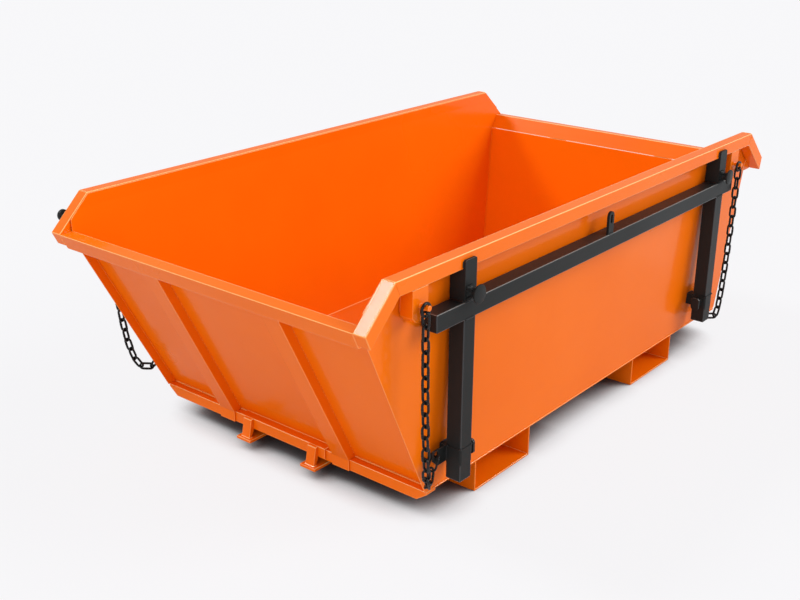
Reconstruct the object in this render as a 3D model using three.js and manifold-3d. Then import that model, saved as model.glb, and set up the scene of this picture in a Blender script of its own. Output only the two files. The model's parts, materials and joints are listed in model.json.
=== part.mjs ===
// Builders skip: a welded steel tub with fork pockets, carried by a bolted H-frame on each long side.
// Millimetres. X runs along the long sides, with the ribbed tipping end at -X. The near long side is
// at -Y, Z is up and the origin is the centre of the footprint, on the ground.
import * as THREE from 'three';
import { mergeVertices } from 'three/addons/utils/BufferGeometryUtils.js';
import Module from 'manifold-3d';

const wasm = await Module();
wasm.setup();

// Overall sizes of the tub
const RIM_TOP = 975;
const RIM_OUTER = 750;
const RIM_TUBE = 50;
const RIM_WALL = 3;
const FLOOR_TOP = 127;
const FLOOR_THICK = 5;
const FLOOR_LIP = 3;
const PLATE = 4;
const TAPER = 39;
const RIM_WELD = 3;
const FIT = 0.3;
const OVERRUN = 40;
const DRAIN_HOLE = 12;

// The two ends: the straight part of the rim is measured from the middle of the H-frames, the foot of
// its chamfer from there, the edge of the side walls from the chamfer's foot, and a post from the straight.
// The ribs and hooks of an end stand around a line that its fitting shift moves to the far side
const TIPPING_END = {
  name: 'tipping',
  sign: -1,
  rimStraight: 1268,
  chamferRun: 134,
  chamferDrop: 130,
  rimLean: 28,
  edgeSetBack: 66,
  slopeRun: 333,
  postSetBack: 356,
  barReach: 172,
  lugReach: 240,
  fittingShift: 18,
  chainSlackShare: 1.08,
};
const PLAIN_END = {
  name: 'plain',
  sign: 1,
  rimStraight: 1215,
  chamferRun: 150,
  chamferDrop: 135,
  rimLean: 13,
  edgeSetBack: 58,
  slopeRun: 87,
  postSetBack: 303,
  barReach: 118,
  lugReach: 144,
  fittingShift: 0,
  chainSlackShare: 1.2,
};

// The end rims are folded sections, with an outer face that leans as the end does
const END_RIM_WIDTH = 50;
const END_RIM_HEIGHT = 58;
const END_RIM_RISE = 5;

// Ribs, foot bars and the tipping hooks of the ends
const RIB_DEPTH = 35;
const RIB_WIDTH = 80;
const RIB_SPACING = 588;
const RIB_PLATE = 4;
const FOOT_BAR_HEIGHT = 42;
const FOOT_BAR_SET_IN = 20;
const FOOT_BAR_REACH = 30;
const FOOT_BAR_CHAMFER = 44;
const HOOK_BAR_LENGTH = 440;
const HOOK_BAR_PLATE = 8;
const HOOK_BAR_HEIGHT = 42;
const HOOK_BAR_STEP = 7;
const HOOK_SET_IN = 53;
const HOOK_WIDTH = 42;
const HOOK_BASE_WIDTH = 74;
const HOOK_PLATE = 12;
const HOOK_CLIMB = 2;
const HOOK_LEAN = 15;
const HOOK_DROP = 43;
const HOOK_TOE = 10;

// Fork pockets under the floor
const POCKET_WIDTH = 350;
const POCKET_PLATE = 6;
const POCKET_SPACING = 1142;
const POCKET_SHIFT = 32;

// H-frames: two posts, a cross bar and what they carry
const POST_TUBE = 60;
const POST_WALL = 4;
const POST_FOOT = 175;
const BAR_BELOW_RIM = 108;
const BAR_TUBE = 60;
const TONGUE_PLATE = 10;
const TONGUE_SET_DOWN = 19;
const TONGUE_CORNER = 5;
const EYE_WIDTH = 36;
const EYE_HEIGHT = 85;
const EYE_PLATE = 10;
const EYE_SLOT_WIDTH = 14;
const EYE_SLOT_HEIGHT = 34;
const EYE_CROWN = 11;
const EYE_INSET = 4;

// Trunnions on the posts, for the lifting arms of a skip lorry
const TRUNNION_ABOVE_BAR = 29;
const TRUNNION_FLANGE_RADIUS = 22;
const TRUNNION_FLANGE = 5;
const TRUNNION_PIN_RADIUS = 15;
const TRUNNION_PIN_LENGTH = 31;
const TRUNNION_DISC_RADIUS = 32;
const TRUNNION_DISC = 6;

// Lower stand-offs with their chain arms, and the cleats on the inner faces of the posts
const ARM_BOTTOM = 237;
const ARM_HEIGHT = 60;
const ARM_PLATE = 6;
const ARM_REACH = 70;
const ARM_CHAMFER = 24;
const ARM_HOLE_EDGE = 16;
const ARM_HOLE_RADIUS = 12;
const SPACER_WIDTH = 50;
const SPACER_INSET = 6;
const CLEAT_STUB = 28;
const CLEAT_STUB_HEIGHT = 28;
const CLEAT_STUB_DEPTH = 24;
const CLEAT_PLATE = 10;
const CLEAT_HEIGHT = 54;
const CLEAT_WIDTH = 36;
const CLEAT_CORNER = 7;
const CLEAT_FRONT_INSET = 12;

// Chain lugs under the side rims, with a headed peg each
const LUG_WIDTH = 74;
const LUG_ABOVE_BAR = 1;
const LUG_CHAMFER = 18;
const LUG_PLATE = 5;
const PEG_BELOW_RIM = 57;
const PEG_RADIUS = 7;
const PEG_REACH = 30.5;
const PEG_HEAD_RADIUS = 9;
const PEG_HEAD = 5;

// Stowed chains: a round ring on the peg, short links and a bow shackle in the arm
const WIRE = 8.5;
const LINK_INNER_LENGTH = 42.5;
const LINK_OUTER_WIDTH = 33;
const LINK_CORNER = 5;
const LINK_BITE = 1;
const HANG_PLAY = 1.7;
const RING_RADIUS = 19;
const RING_STAND_OFF = 20;
const SHACKLE_WIRE = 7;
const SHACKLE_HALF_WIDTH = 15;
const SHACKLE_LENGTH = 50;
const SHACKLE_LEAN = 24;
const SHACKLE_PIN_RADIUS = 4;
const SHACKLE_PIN_PLAY = 0.95;
const SHACKLE_HEAD_RADIUS = 8;
const SHACKLE_HEAD = 4;

// Counts of facets
const ROUND_STEPS = 16;
const HOLE_STEPS = 12;
const RING_STEPS = 12;
const WIRE_SIDES = 4;
const BOW_STEPS = 5;
const SOLVER_STEPS = 80;

const orangePaint = new THREE.MeshStandardMaterial({ color: 0xff6200, roughness: 0.35, metalness: 0 });
const blackPaint = new THREE.MeshStandardMaterial({ color: 0x26282a, roughness: 0.4, metalness: 0 });
const chainSteel = new THREE.MeshStandardMaterial({ color: 0x101112, roughness: 0.45, metalness: 0.6 });

// Planes and lines that several pieces share
const WALL_OUTER_TOP = RIM_OUTER - RIM_TUBE;
const RIM_UNDER = RIM_TOP - RIM_TUBE;
const FLOOR_UNDER = FLOOR_TOP - FLOOR_THICK;
const POST_FRONT = RIM_OUTER + FIT + TONGUE_PLATE;
const POST_BACK = POST_FRONT - POST_TUBE;
const BAR_TOP = RIM_UNDER - BAR_BELOW_RIM;
const BAR_UNDER = BAR_TOP - BAR_TUBE;
const TONGUE_TOP = RIM_TOP - TONGUE_SET_DOWN;
const TRUNNION_HEIGHT = BAR_TOP + TRUNNION_ABOVE_BAR;
const PEG_HEIGHT = RIM_UNDER - PEG_BELOW_RIM;
const FOOT_BAR_TOP = FLOOR_UNDER - FIT;
const LUG_UNDER = BAR_TOP + LUG_ABOVE_BAR;
const ENDS = [TIPPING_END, PLAIN_END];

const wallOuterAt = (z) => WALL_OUTER_TOP - TAPER * Math.max(0, (RIM_UNDER - z) / (RIM_UNDER - FLOOR_TOP));
const rimFoot = (end) => ({ x: end.rimStraight + end.chamferRun, z: RIM_TOP - end.chamferDrop });
const endRimUnder = (end) => rimFoot(end).z - END_RIM_HEIGHT;
const slopeOf = (end) => end.slopeRun / (endRimUnder(end) - FLOOR_TOP);
const sideEdgeAt = (end, z) => rimFoot(end).x - end.edgeSetBack - slopeOf(end) * (endRimUnder(end) - z);
const endWallAt = (end, z) => sideEdgeAt(end, z) - RIB_DEPTH * Math.hypot(1, slopeOf(end));
const endWallTop = (end) => endWallAt(end, endRimUnder(end));
const postAt = (end) => end.rimStraight - end.postSetBack;
const floorEnd = (end) => endWallAt(end, FLOOR_TOP);
const footBarInner = (end) => floorEnd(end) - FOOT_BAR_SET_IN;
const footBarOuter = (end) => floorEnd(end) + FOOT_BAR_REACH;

// Solids and geometries
function toSolid(geometry) {
  const bare = new THREE.BufferGeometry();
  bare.setAttribute('position', geometry.getAttribute('position'));
  bare.setIndex(geometry.getIndex());
  const merged = mergeVertices(bare);
  return new wasm.Manifold(
    new wasm.Mesh({
      numProp: 3,
      vertProperties: new Float32Array(merged.getAttribute('position').array),
      triVerts: new Uint32Array(merged.getIndex().array),
    }),
  );
}

function toGeometry(solid) {
  const mesh = solid.getMesh();
  const geometry = new THREE.BufferGeometry();
  geometry.setAttribute('position', new THREE.BufferAttribute(mesh.vertProperties, 3));
  geometry.setIndex(new THREE.BufferAttribute(mesh.triVerts, 1));
  geometry.computeVertexNormals();
  return geometry;
}

function box(x, y, z) {
  const geometry = new THREE.BoxGeometry(x[1] - x[0], y[1] - y[0], z[1] - z[0]);
  geometry.translate((x[0] + x[1]) / 2, (y[0] + y[1]) / 2, (z[0] + z[1]) / 2);
  return toSolid(geometry);
}

function extrude(points, depth, holes = []) {
  const shape = new THREE.Shape(points.map(([a, b]) => new THREE.Vector2(a, b)));
  shape.holes = holes;
  return new THREE.ExtrudeGeometry(shape, { depth, bevelEnabled: false, curveSegments: HOLE_STEPS });
}

// An outline of [x, z] points, extruded from y[0] to y[1]
function prismXZ(points, y, holes) {
  const geometry = extrude(points, y[1] - y[0], holes);
  geometry.rotateX(Math.PI / 2);
  geometry.translate(0, y[1], 0);
  return toSolid(geometry);
}

// An outline of [y, z] points, extruded from x[0] to x[1]
function prismYZ(points, x) {
  const geometry = extrude(points, x[1] - x[0]);
  const turn = new THREE.Matrix4().makeBasis(
    new THREE.Vector3(0, 1, 0),
    new THREE.Vector3(0, 0, 1),
    new THREE.Vector3(1, 0, 0),
  );
  geometry.applyMatrix4(turn);
  geometry.translate(x[0], 0, 0);
  return toSolid(geometry);
}

function cylinder(radius, from, to, steps = ROUND_STEPS) {
  const start = new THREE.Vector3(...from);
  const axis = new THREE.Vector3(...to).sub(start);
  const geometry = new THREE.CylinderGeometry(radius, radius, axis.length(), steps);
  const upright = new THREE.Vector3(0, 1, 0);
  const turn = new THREE.Quaternion().setFromUnitVectors(upright, axis.clone().normalize());
  geometry.applyQuaternion(turn);
  geometry.translate(...start.addScaledVector(axis, 1 / 2).toArray());
  return toSolid(geometry);
}

// Through the lower wall of a hollow section whose underside is at z
function drainHole(x, y, z) {
  return cylinder(DRAIN_HOLE / 2, [x, y, z - DRAIN_HOLE], [x, y, z + DRAIN_HOLE], HOLE_STEPS);
}

// A wire of flat-sided section along points that lie in the plane with the given normal
function wire(points, normal, diameter, closed) {
  const around = diameter / 2 / Math.cos(Math.PI / WIRE_SIDES);
  const vertices = [];
  const indices = [];
  const count = points.length;
  points.forEach((point, i) => {
    const ahead = points[closed ? (i + 1) % count : Math.min(i + 1, count - 1)];
    const behind = points[closed ? (i + count - 1) % count : Math.max(i - 1, 0)];
    const side = ahead.clone().sub(behind).normalize().cross(normal);
    for (let j = 0; j < WIRE_SIDES; j += 1) {
      const turn = ((j + 1 / 2) * 2 * Math.PI) / WIRE_SIDES;
      const corner = point.clone();
      corner.addScaledVector(side, around * Math.cos(turn)).addScaledVector(normal, around * Math.sin(turn));
      vertices.push(...corner.toArray());
    }
  });
  const spans = closed ? count : count - 1;
  for (let i = 0; i < spans; i += 1) {
    for (let j = 0; j < WIRE_SIDES; j += 1) {
      const a = i * WIRE_SIDES + j;
      const b = i * WIRE_SIDES + ((j + 1) % WIRE_SIDES);
      const c = ((i + 1) % count) * WIRE_SIDES + j;
      const d = ((i + 1) % count) * WIRE_SIDES + ((j + 1) % WIRE_SIDES);
      indices.push(a, c, b, b, c, d);
    }
  }
  if (!closed) {
    const last = (count - 1) * WIRE_SIDES;
    for (let j = 1; j < WIRE_SIDES - 1; j += 1) {
      indices.push(0, j, j + 1, last, last + j + 1, last + j);
    }
  }
  const geometry = new THREE.BufferGeometry();
  geometry.setAttribute('position', new THREE.Float32BufferAttribute(vertices, 3));
  geometry.setIndex(indices);
  return toSolid(geometry);
}

function mirrored(geometry) {
  const copy = geometry.clone();
  copy.scale(1, -1, 1);
  const index = copy.getIndex();
  for (let i = 0; i < index.count; i += 3) {
    const first = index.getX(i);
    index.setX(i, index.getX(i + 1));
    index.setX(i + 1, first);
  }
  copy.computeVertexNormals();
  return copy;
}

// Tub
function floorPlate() {
  const half = wallOuterAt(FLOOR_TOP) + FLOOR_LIP;
  const ends = ENDS.map((end) => end.sign * floorEnd(end));
  return box(ends, [-half, half], [FLOOR_UNDER, FLOOR_TOP]);
}

// The side wall's outline follows its rim above and stops at the foot bars and end rims
function sideWallEnd(end) {
  const under = endRimUnder(end) - FIT;
  const inner = endWallTop(end) - FIT;
  const foot = rimFoot(end);
  const rimInner = foot.x - END_RIM_WIDTH - FIT;
  const climb = end.chamferDrop / end.chamferRun;
  const notch = FOOT_BAR_TOP + FIT;
  return [
    [floorEnd(end) + FIT, FLOOR_TOP],
    [floorEnd(end) + FIT, notch],
    [sideEdgeAt(end, notch), notch],
    [sideEdgeAt(end, under), under],
    [inner, under],
    [rimInner, foot.z + END_RIM_RISE],
    [rimInner, foot.z + (END_RIM_WIDTH + FIT) * climb - RIM_WELD],
    [end.rimStraight, RIM_TOP - RIM_WELD],
  ].map(([x, z]) => [end.sign * x, z]);
}

function sideWall() {
  const foot = wallOuterAt(FLOOR_TOP);
  const profile = [
    [-WALL_OUTER_TOP, RIM_TOP],
    [-WALL_OUTER_TOP, RIM_UNDER],
    [-foot, FLOOR_TOP],
    [-foot, FOOT_BAR_TOP],
    [PLATE - foot, FOOT_BAR_TOP],
    [PLATE - foot, FLOOR_TOP],
    [PLATE - WALL_OUTER_TOP, RIM_UNDER],
    [PLATE - WALL_OUTER_TOP, RIM_TOP],
  ];
  const outline = [...sideWallEnd(TIPPING_END), ...sideWallEnd(PLAIN_END).reverse()];
  const reach = ENDS.map((end) => end.sign * rimFoot(end).x);
  return prismYZ(profile, reach).intersect(prismXZ(outline, [-RIM_OUTER, 0]));
}

// Everything between the inner faces of the side walls, so that an end wall fits between them
function between() {
  const foot = wallOuterAt(FLOOR_TOP) - PLATE - FIT;
  const top = WALL_OUTER_TOP - PLATE - FIT;
  const outline = [
    [-foot, FLOOR_TOP],
    [foot, FLOOR_TOP],
    [top, RIM_UNDER],
    [top, RIM_TOP],
    [-top, RIM_TOP],
    [-top, RIM_UNDER],
  ];
  return prismYZ(outline, ENDS.map((end) => end.sign * (rimFoot(end).x + OVERRUN)));
}

function endWall(end) {
  const under = endRimUnder(end) - FIT;
  const outline = [
    [endWallAt(end, FLOOR_TOP), FLOOR_TOP],
    [endWallAt(end, under), under],
    [endWallAt(end, under) - PLATE, under],
    [endWallAt(end, FLOOR_TOP) - PLATE, FLOOR_TOP],
  ].map(([x, z]) => [end.sign * x, z]);
  return prismXZ(outline, [-RIM_OUTER, RIM_OUTER]).intersect(between());
}

// A rim outline between the two ends, shrunk by inset all round
function rimOutline(inset) {
  const half = (end) => {
    const length = Math.hypot(end.chamferRun, end.chamferDrop);
    const mitre = Math.tan(Math.atan2(end.chamferDrop, end.chamferRun) / 2);
    const along = [end.chamferRun / length, end.chamferDrop / length];
    const foot = rimFoot(end);
    const lean = end.rimLean / END_RIM_HEIGHT;
    // Points on the end cut, which leans inwards by lean for each millimetre down
    const endCut = (depth) => {
      const start = [foot.x - depth * along[1], foot.z - depth * along[0]];
      const drop = foot.z - start[1];
      const miss = foot.x - lean * drop - start[0] - inset * Math.hypot(1, lean);
      const slide = miss / (along[0] + lean * along[1]);
      return [start[0] + slide * along[0], start[1] - slide * along[1]];
    };
    return [
      endCut(inset),
      [end.rimStraight - inset * mitre, RIM_TOP - inset],
      [end.rimStraight - (RIM_TUBE - inset) * mitre, RIM_UNDER + inset],
      endCut(RIM_TUBE - inset),
    ].map(([x, z]) => [end.sign * x, z]);
  };
  const left = half(TIPPING_END);
  const right = half(PLAIN_END);
  return [left[3], left[0], left[1], right[1], right[0], right[3], right[2], left[2]];
}

function sideRim() {
  const hollow = prismXZ(rimOutline(RIM_WALL), [RIM_WALL - RIM_OUTER, -WALL_OUTER_TOP - RIM_WALL]);
  const middle = -WALL_OUTER_TOP - RIM_TUBE / 2;
  const drain = drainHole(0, middle, RIM_UNDER);
  return prismXZ(rimOutline(0), [-RIM_OUTER, -WALL_OUTER_TOP]).subtract(hollow).subtract(drain);
}

function endRim(end) {
  const foot = rimFoot(end);
  const under = endRimUnder(end);
  const outline = [
    [foot.x, foot.z],
    [foot.x - END_RIM_WIDTH, foot.z + END_RIM_RISE],
    [endWallTop(end), under],
    [foot.x - end.rimLean, under],
  ];
  const inside = [
    [foot.x - END_RIM_WIDTH / 2, foot.z - RIM_WALL],
    [foot.x - END_RIM_WIDTH, foot.z - RIM_WALL + END_RIM_RISE / 2],
    [endWallTop(end) + RIM_WALL * 2, under + RIM_WALL],
    [foot.x - end.rimLean - RIM_WALL, under + RIM_WALL],
  ];
  const place = (points) => points.map(([x, z]) => [end.sign * x, z]);
  const half = WALL_OUTER_TOP - FIT;
  const x = end.sign * (foot.x - end.rimLean - END_RIM_WIDTH / 2);
  return prismXZ(place(outline), [-half, half])
    .subtract(prismXZ(place(inside), [RIM_WALL - half, half - RIM_WALL]))
    .subtract(drainHole(x, 0, under));
}

// A rib is a channel whose open side faces the end wall
function rib(end, y) {
  const top = endRimUnder(end) - FIT;
  const foot = FOOT_BAR_TOP + FIT;
  const outline = (skin) => [
    [sideEdgeAt(end, foot) - skin, foot],
    [sideEdgeAt(end, top) - skin, top],
    [endWallAt(end, top) + FIT - skin, top],
    [floorEnd(end) + FIT - skin, FLOOR_TOP],
    [floorEnd(end) + FIT - skin, foot],
  ].map(([x, z]) => [end.sign * x, z]);
  const half = RIB_WIDTH / 2;
  const hollow = prismXZ(outline(RIB_PLATE), [y + RIB_PLATE - half, y + half - RIB_PLATE]);
  // The front plate runs on over the foot bar's face
  const tongue = [footBarOuter(end) + FIT, sideEdgeAt(end, foot)].map((x) => end.sign * x);
  const under = FOOT_BAR_TOP - FOOT_BAR_HEIGHT;
  return prismXZ(outline(0), [y - half, y + half])
    .subtract(hollow)
    .add(box(tongue.sort((a, b) => a - b), [y - half, y + half], [under, foot + RIB_PLATE]));
}

// Along the foot of an end wall: a channel open below, with its lower corners cut off
function footBar(end) {
  const half = wallOuterAt(FLOOR_TOP);
  const under = FOOT_BAR_TOP - FOOT_BAR_HEIGHT;
  const outline = [
    [-half, FOOT_BAR_TOP],
    [half, FOOT_BAR_TOP],
    [half, FOOT_BAR_TOP - FOOT_BAR_HEIGHT / 4],
    [half - FOOT_BAR_CHAMFER, under],
    [FOOT_BAR_CHAMFER - half, under],
    [-half, FOOT_BAR_TOP - FOOT_BAR_HEIGHT / 4],
  ];
  const x = [end.sign * footBarInner(end), end.sign * footBarOuter(end)].sort((a, b) => a - b);
  const inside = half - FOOT_BAR_CHAMFER - PLATE;
  return prismYZ(outline, x).subtract(
    box([x[0] + PLATE, x[1] - PLATE], [-inside, inside], [under - OVERRUN, FOOT_BAR_TOP - PLATE]),
  );
}

// The bar that joins the two tipping hooks lies on the front of the foot bar
function hookBar(end) {
  const top = FOOT_BAR_TOP + HOOK_BAR_STEP;
  const rest = FOOT_BAR_TOP + FIT;
  const inner = endWallAt(end, top) + FIT;
  const outer = footBarOuter(end) + FIT;
  const outline = [
    [inner, rest],
    [inner, top],
    [outer + HOOK_BAR_PLATE, top],
    [outer + HOOK_BAR_PLATE, top - HOOK_BAR_HEIGHT],
    [outer, top - HOOK_BAR_HEIGHT],
    [outer, rest],
  ].map(([x, z]) => [end.sign * x, z]);
  const half = HOOK_BAR_LENGTH / 2;
  return prismXZ(outline, [end.fittingShift - half, end.fittingShift + half]);
}

// A hook is a bent strap: down in front of the bar, out to a toe, back under and up to the foot bar.
// Its base is a wider plate than the strap
function tippingHook(end, y) {
  const front = footBarOuter(end) + FIT + HOOK_BAR_PLATE + FIT;
  const barTop = FOOT_BAR_TOP + HOOK_BAR_STEP;
  const barUnder = barTop - HOOK_BAR_HEIGHT;
  const under = barUnder - HOOK_DROP;
  const toe = front + HOOK_LEAN;
  const rear = footBarInner(end);
  const foot = FOOT_BAR_TOP - FOOT_BAR_HEIGHT - FIT;
  const outline = [
    [front, barTop + HOOK_CLIMB],
    [front + HOOK_PLATE, barTop + HOOK_CLIMB - HOOK_PLATE / 3],
    [toe + HOOK_PLATE, under],
    [rear, under],
    [rear, foot],
    [rear + HOOK_PLATE, foot],
    [rear + HOOK_PLATE, under + HOOK_PLATE],
    [toe - HOOK_PLATE / 3, under + HOOK_PLATE],
    [front, barUnder - HOOK_PLATE / 2],
  ].map(([x, z]) => [end.sign * x, z]);
  const base = [rear, toe + HOOK_PLATE + HOOK_TOE].map((x) => end.sign * x).sort((a, b) => a - b);
  return prismXZ(outline, [y - HOOK_WIDTH / 2, y + HOOK_WIDTH / 2])
    .add(box(base, [y - HOOK_BASE_WIDTH / 2, y + HOOK_BASE_WIDTH / 2], [under, under + HOOK_PLATE]));
}

// A fork pocket is a channel whose open side is closed by the floor
function forkPocket(x) {
  const half = wallOuterAt(FLOOR_TOP);
  const outer = box([x - POCKET_WIDTH / 2, x + POCKET_WIDTH / 2], [-half, half], [0, FLOOR_UNDER]);
  const inside = POCKET_WIDTH / 2 - POCKET_PLATE;
  return outer.subtract(
    box([x - inside, x + inside], [-half - OVERRUN, half + OVERRUN], [POCKET_PLATE, FLOOR_UNDER + OVERRUN]),
  );
}

// H-frame
function post(x) {
  const half = POST_TUBE / 2;
  const inner = half - POST_WALL;
  const middle = -(POST_FRONT + POST_BACK) / 2;
  const top = BAR_UNDER - FIT;
  return box([x - half, x + half], [-POST_FRONT, -POST_BACK], [POST_FOOT, top]).subtract(
    box([x - inner, x + inner], [middle - inner, middle + inner], [POST_FOOT - OVERRUN, top - POST_WALL]),
  );
}

// Above the bar the post goes on to the rim, and its front wall goes up over the rim's face
function postHead(x) {
  const half = POST_TUBE / 2;
  const inner = half - POST_WALL;
  const middle = -(POST_FRONT + POST_BACK) / 2;
  const under = BAR_TOP + FIT;
  const top = RIM_UNDER - FIT;
  const hollowSides = [middle - inner, middle + inner];
  const tongue = [
    [x - half, under],
    [x + half, under],
    [x + half, TONGUE_TOP - TONGUE_CORNER],
    [x + half - TONGUE_CORNER, TONGUE_TOP],
    [x - half + TONGUE_CORNER, TONGUE_TOP],
    [x - half, TONGUE_TOP - TONGUE_CORNER],
  ];
  return box([x - half, x + half], [-POST_FRONT, -POST_BACK], [under, top])
    .subtract(box([x - inner, x + inner], hollowSides, [under - OVERRUN, top - POST_WALL]))
    .add(prismXZ(tongue, [-POST_FRONT, -POST_FRONT + TONGUE_PLATE]));
}

const barEnds = ENDS.map((end) => end.sign * (postAt(end) + end.barReach));

function crossBar() {
  const middle = -(POST_FRONT + POST_BACK) / 2;
  const inner = BAR_TUBE / 2 - POST_WALL;
  const hollow = box(
    [barEnds[0] + POST_WALL, barEnds[1] - POST_WALL],
    [middle - inner, middle + inner],
    [BAR_UNDER + POST_WALL, BAR_TOP - POST_WALL],
  );
  const drains = barEnds.map((x) => drainHole(x - Math.sign(x) * BAR_TUBE, middle, BAR_UNDER));
  const tube = box(barEnds, [middle - BAR_TUBE / 2, middle + BAR_TUBE / 2], [BAR_UNDER, BAR_TOP]);
  return drains.reduce((solid, drain) => solid.subtract(drain), tube.subtract(hollow));
}

// The lifting eye stands on the middle of the bar, near its front edge
function liftingEye() {
  const x = (barEnds[0] + barEnds[1]) / 2;
  const foot = BAR_TOP + FIT;
  const half = EYE_WIDTH / 2;
  const centre = foot + EYE_HEIGHT - half;
  const outline = [[x - half, foot], [x + half, foot]];
  for (let i = 0; i <= ROUND_STEPS / 2; i += 1) {
    const turn = (i * 2 * Math.PI) / ROUND_STEPS;
    outline.push([x + half * Math.cos(turn), centre + half * Math.sin(turn)]);
  }
  const slot = new THREE.Path();
  const low = foot + EYE_HEIGHT - EYE_CROWN - EYE_SLOT_HEIGHT + EYE_SLOT_WIDTH / 2;
  const high = foot + EYE_HEIGHT - EYE_CROWN - EYE_SLOT_WIDTH / 2;
  slot.absarc(x, low, EYE_SLOT_WIDTH / 2, Math.PI, 2 * Math.PI, false);
  slot.absarc(x, high, EYE_SLOT_WIDTH / 2, 0, Math.PI, false);
  slot.closePath();
  const front = -POST_FRONT + EYE_INSET;
  return prismXZ(outline, [front, front + EYE_PLATE], [slot]);
}

function trunnion(x) {
  const profile = [
    [0, FIT],
    [TRUNNION_FLANGE_RADIUS, FIT],
    [TRUNNION_FLANGE_RADIUS, TRUNNION_FLANGE],
    [TRUNNION_PIN_RADIUS, TRUNNION_FLANGE + (TRUNNION_FLANGE_RADIUS - TRUNNION_PIN_RADIUS) / 2],
    [TRUNNION_PIN_RADIUS, TRUNNION_PIN_LENGTH],
    [TRUNNION_DISC_RADIUS, TRUNNION_PIN_LENGTH],
    [TRUNNION_DISC_RADIUS, TRUNNION_PIN_LENGTH + TRUNNION_DISC],
    [0, TRUNNION_PIN_LENGTH + TRUNNION_DISC],
  ].map(([radius, along]) => new THREE.Vector2(radius, along));
  const geometry = new THREE.LatheGeometry(profile, ROUND_STEPS);
  geometry.rotateX(Math.PI);
  geometry.translate(x, -POST_FRONT, TRUNNION_HEIGHT);
  return toSolid(geometry);
}

// Behind the foot of a post: a plate that reaches out as the chain arm, and a spacer to the wall
function standOff(x, outward) {
  const inner = x - (outward * POST_TUBE) / 2;
  const outer = x + outward * (POST_TUBE / 2 + ARM_REACH);
  const top = ARM_BOTTOM + ARM_HEIGHT;
  const outline = [
    [inner, ARM_BOTTOM],
    [outer - outward * ARM_CHAMFER, ARM_BOTTOM],
    [outer, ARM_BOTTOM + ARM_CHAMFER],
    [outer, top],
    [inner, top],
  ];
  const front = FIT - POST_BACK;
  const hole = armHole(x, outward);
  const spacer = [
    [front + ARM_PLATE / 2, ARM_BOTTOM + SPACER_INSET],
    [-wallOuterAt(ARM_BOTTOM + SPACER_INSET) - FIT, ARM_BOTTOM + SPACER_INSET],
    [-wallOuterAt(top - SPACER_INSET) - FIT, top - SPACER_INSET],
    [front + ARM_PLATE / 2, top - SPACER_INSET],
  ];
  return prismXZ(outline, [front, front + ARM_PLATE])
    .add(prismYZ(spacer, [x - SPACER_WIDTH / 2, x + SPACER_WIDTH / 2]))
    .subtract(cylinder(ARM_HOLE_RADIUS, [hole.x, -POST_FRONT, hole.z], [hole.x, 0, hole.z], HOLE_STEPS));
}

function armHole(x, outward) {
  return {
    x: x + outward * (POST_TUBE / 2 + ARM_REACH - ARM_HOLE_EDGE),
    z: ARM_BOTTOM + ARM_HEIGHT - ARM_HOLE_EDGE,
  };
}

// A cleat is a short stub on the inner face of a post, with a round-cornered plate on its end
function cleat(x, outward) {
  const face = x - outward * (POST_TUBE / 2 + FIT);
  const middle = ARM_BOTTOM + ARM_HEIGHT / 2;
  const front = CLEAT_FRONT_INSET - POST_FRONT;
  const span = (from, length) => [from, from - outward * length].sort((a, b) => a - b);
  const stubFront = front + (CLEAT_WIDTH - CLEAT_STUB_DEPTH) / 2;
  const stub = box(
    span(face, CLEAT_STUB + CLEAT_PLATE / 2),
    [stubFront, stubFront + CLEAT_STUB_DEPTH],
    [middle - CLEAT_STUB_HEIGHT / 2, middle + CLEAT_STUB_HEIGHT / 2],
  );
  const low = middle - CLEAT_HEIGHT / 2;
  const high = middle + CLEAT_HEIGHT / 2;
  const back = front + CLEAT_WIDTH;
  const outline = [
    [front + CLEAT_CORNER, low],
    [back - CLEAT_CORNER, low],
    [back, low + CLEAT_CORNER],
    [back, high - CLEAT_CORNER],
    [back - CLEAT_CORNER, high],
    [front + CLEAT_CORNER, high],
    [front, high - CLEAT_CORNER],
    [front, low + CLEAT_CORNER],
  ];
  return stub.add(prismYZ(outline, span(face - outward * CLEAT_STUB, CLEAT_PLATE)));
}

// Under the rim: a folded lug, open to the wall, with a headed peg on its front
function chainLug(x) {
  const half = LUG_WIDTH / 2;
  const outline = (skin, drop) => [
    [x - half + skin, RIM_UNDER - FIT],
    [x + half - skin, RIM_UNDER - FIT],
    [x + half - skin, LUG_UNDER + LUG_CHAMFER + drop],
    [x + half - LUG_CHAMFER - skin / 2, LUG_UNDER + drop],
    [x - half + LUG_CHAMFER + skin / 2, LUG_UNDER + drop],
    [x - half + skin, LUG_UNDER + LUG_CHAMFER + drop],
  ];
  const back = -WALL_OUTER_TOP - FIT;
  const hollow = prismXZ(outline(LUG_PLATE, LUG_PLATE), [LUG_PLATE - RIM_OUTER, back + OVERRUN]).subtract(
    box([x - half, x + half], [-RIM_OUTER, 0], [RIM_UNDER - LUG_PLATE, RIM_UNDER]),
  );
  const reach = -RIM_OUTER - PEG_REACH;
  return prismXZ(outline(0, 0), [-RIM_OUTER, back])
    .subtract(hollow)
    .add(cylinder(PEG_RADIUS, [x, LUG_PLATE / 2 - RIM_OUTER, PEG_HEIGHT], [x, reach, PEG_HEIGHT]))
    .add(cylinder(PEG_HEAD_RADIUS, [x, reach, PEG_HEIGHT], [x, reach - PEG_HEAD, PEG_HEIGHT]));
}

// Chains
const linkHalf = (LINK_INNER_LENGTH + WIRE) / 2;
const linkSpacing = 2 * linkHalf - WIRE + LINK_BITE;

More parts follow.
